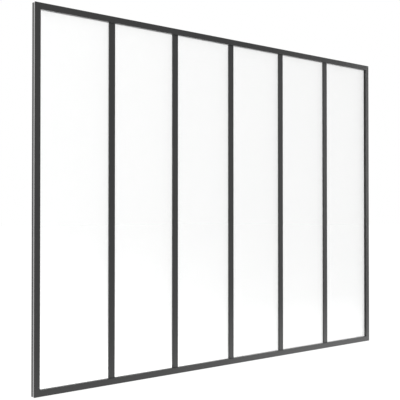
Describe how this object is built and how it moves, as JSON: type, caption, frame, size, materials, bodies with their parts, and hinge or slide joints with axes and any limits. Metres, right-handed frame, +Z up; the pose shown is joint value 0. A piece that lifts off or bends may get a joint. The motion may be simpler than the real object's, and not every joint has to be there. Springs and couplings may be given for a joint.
{
  "type": "fixed interior glass partition",
  "caption": "Wall-mounted indoor glazed screen: slim dark metal frame, upright mullions and tall clear panes, with back beads and an edge seal.",
  "frame": {"origin": "middle of the flat underside of the bottom rail, behind the front lip", "axes": "+X along the screen to the right as seen from the front, +Y from the front face to the back, +Z up"},
  "size_m": [1.83, 0.0192, 1.3],
  "materials": {
    "frame": "fine-texture powder coat, dark anthracite, satin",
    "glass": "clear toughened float glass, polished",
    "gasket": "black, dull",
    "seal": "pale grey, dull",
    "cleat": "mill finish"
  },
  "bodies": {
    "root": {"left_stile": "frame", "right_stile": "frame", "top_rail": "frame", "bottom_rail": "frame", "mullion_1": "frame", "mullion_2": "frame", "mullion_3": "frame", "mullion_4": "frame", "mullion_5": "frame", "pane_1": "glass", "pane_2": "glass", "pane_3": "glass", "pane_4": "glass", "pane_5": "glass", "pane_6": "glass", "gaskets_1": "gasket", "gaskets_2": "gasket", "gaskets_3": "gasket", "gaskets_4": "gasket", "gaskets_5": "gasket", "gaskets_6": "gasket", "left_bead": "frame", "right_bead": "frame", "top_bead": "frame", "bottom_bead": "frame", "mullion_cap_1": "frame", "mullion_cap_2": "frame", "mullion_cap_3": "frame", "mullion_cap_4": "frame", "mullion_cap_5": "frame", "left_seal": "seal", "right_seal": "seal", "top_seal": "seal", "bottom_seal": "seal", "top_left_cleat": "cleat", "top_right_cleat": "cleat", "bottom_left_cleat": "cleat", "bottom_right_cleat": "cleat"}
  },
  "joints": []
}
